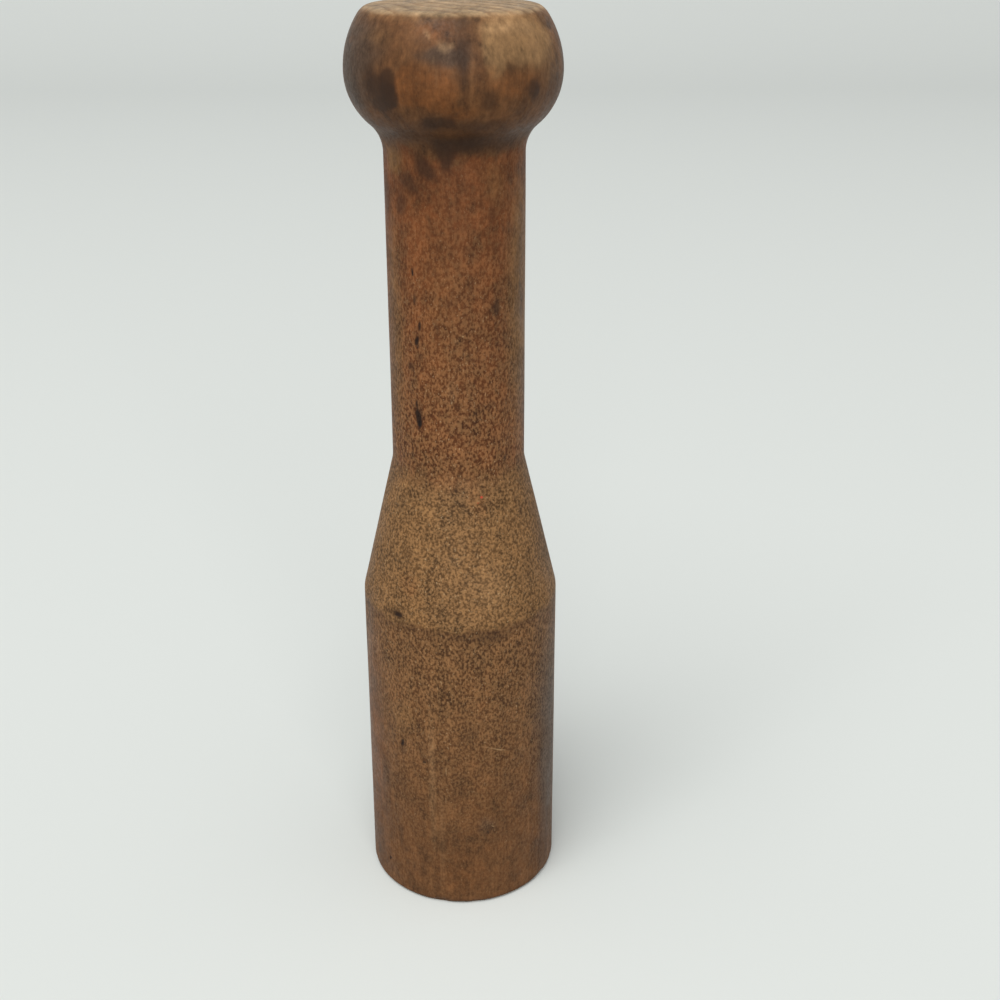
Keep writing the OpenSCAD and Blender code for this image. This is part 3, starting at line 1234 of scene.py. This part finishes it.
@dataclass(frozen=True)
class Studio:
    """A plain pale floor that sweeps up behind, and soft light. Lengths are metres."""

    half_width: float = 3.0
    front: float = -3.0
    bend_at: float = 0.9
    bend_radius: float = 0.9
    back_height: float = 2.4
    floor_tone: Tone = Tone(226, 230, 226)
    bounce_tone: Tone = Tone(128, 130, 132)
    wall_tone: Tone = Tone(224, 228, 224)
    sky: float = 0.54
    key_power: float = 52.0
    key_azimuth: float = -28.0
    key_elevation: float = 62.0
    fill_power: float = 24.0
    fill_azimuth: float = 6.0
    fill_elevation: float = 22.0
    lamp_distance: float = 3.0
    key_size: float = 1.95
    fill_size: float = 1.8

    def build(self) -> None:
        """Builds the floor, the world and the lamps."""
        self._floor()
        self._world()
        self._lamp("key", self.key_power, self.key_azimuth, self.key_elevation, self.key_size)
        self._lamp("fill", self.fill_power, self.fill_azimuth, self.fill_elevation, self.fill_size)
        log.info("studio: floor, sweep and two soft lamps")

    def _floor(self) -> None:
        """Builds the floor and its sweep as one sheet."""
        line = [(self.front, 0.0), (self.bend_at, 0.0)]
        for part in range(1, 25):
            angle = math.radians(90 * part / 24)
            line.append(
                (self.bend_at + self.bend_radius * math.sin(angle), self.bend_radius * (1 - math.cos(angle)))
            )
        line.append((line[-1][0], self.back_height))
        places = [(side * self.half_width, y, z) for y, z in line for side in (-1, 1)]
        faces = [(2 * k, 2 * k + 1, 2 * k + 3, 2 * k + 2) for k in range(len(line) - 1)]
        mesh = bpy.data.meshes.new("floor")
        mesh.from_pydata(places, [], faces)
        mesh.shade_smooth()
        mesh.materials.append(self._floor_material())
        floor = bpy.data.objects.new("floor", mesh)
        bpy.context.scene.collection.objects.link(floor)

    def _floor_material(self) -> bpy.types.Material:
        """Returns a dull material that looks pale, and throws little light back on the object."""
        material = bpy.data.materials.new("pale_floor")
        material.use_nodes = True
        graph = Graph(material.node_tree)
        path = graph.node("ShaderNodeLightPath")
        seen = Value(graph, path.outputs["Is Camera Ray"]) + Value(graph, path.outputs["Is Glossy Ray"])
        seen = seen + Value(graph, path.outputs["Is Transmission Ray"])
        colour = graph.mix(seen, self.bounce_tone.linear(), self.floor_tone.linear())
        shader = graph.node("ShaderNodeBsdfDiffuse", None, {"Color": colour})
        graph.node("ShaderNodeOutputMaterial", None, {"Surface": shader.outputs[0]})
        return material

    def _world(self) -> None:
        """Lights the object evenly from all round, and shows a pale wall beyond the floor."""
        world = bpy.data.worlds.new("studio")
        bpy.context.scene.world = world
        world.use_nodes = True
        graph = Graph(world.node_tree)
        path = graph.node("ShaderNodeLightPath")
        seen = Value(graph, path.outputs["Is Camera Ray"])
        lit = graph.node("ShaderNodeBackground", None, {"Color": (1.0, 1.0, 1.0, 1.0), "Strength": self.sky})
        wall = graph.node("ShaderNodeBackground", None, {"Color": self.wall_tone.linear(), "Strength": 1.0})
        both = graph.node("ShaderNodeMixShader", None, {0: seen, 1: lit.outputs[0], 2: wall.outputs[0]})
        graph.node("ShaderNodeOutputWorld", None, {"Surface": both.outputs[0]})

    def _lamp(self, name: str, power: float, azimuth: float, elevation: float, size: float) -> None:
        """Hangs a square soft lamp that faces the pestle.

        Args:
            name: The lamp's name.
            power: Its power in watts.
            azimuth: Degrees from the front, growing to the right.
            elevation: Degrees above the floor.
            size: Its side.
        """
        data = bpy.data.lights.new(name, "AREA")
        data.energy = power
        data.size = size
        turn = math.radians(azimuth)
        rise = math.radians(elevation)
        way = Vector((math.sin(turn) * math.cos(rise), -math.cos(turn) * math.cos(rise), math.sin(rise)))
        lamp = bpy.data.objects.new(name, data)
        lamp.location = way * self.lamp_distance + Vector((0.0, 0.0, 0.07))
        lamp.rotation_euler = (-way).to_track_quat("-Z", "Y").to_euler()
        bpy.context.scene.collection.objects.link(lamp)


@dataclass(frozen=True)
class PhotoCamera:
    """The camera at the photograph's viewing angle, from a fit of the lens to known sizes."""

    location: tuple[float, float, float] = (0.0, -0.20132, 0.15948)
    tilt: tuple[float, float, float] = (65.4215, -0.0062, -1.8334)
    lens: float = 50.344
    sensor: float = 36.0

    def build(self) -> None:
        """Makes the camera and sets the plain view of colour."""
        data = bpy.data.cameras.new("camera")
        data.lens = self.lens
        data.sensor_width = self.sensor
        data.clip_start = 0.01
        data.clip_end = 50.0
        camera = bpy.data.objects.new("camera", data)
        camera.location = self.location
        camera.rotation_euler = Euler([math.radians(angle) for angle in self.tilt], "XYZ")
        bpy.context.scene.collection.objects.link(camera)
        bpy.context.scene.camera = camera
        bpy.context.scene.view_settings.view_transform = "Standard"


def main() -> None:
    """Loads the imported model, builds the pestle, the studio and the camera."""
    logging.basicConfig(level=logging.INFO)
    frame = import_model()
    Pestle().build(frame["nodes"]["pestle"])
    Studio().build()
    PhotoCamera().build()


if __name__ == "__main__":
    main()
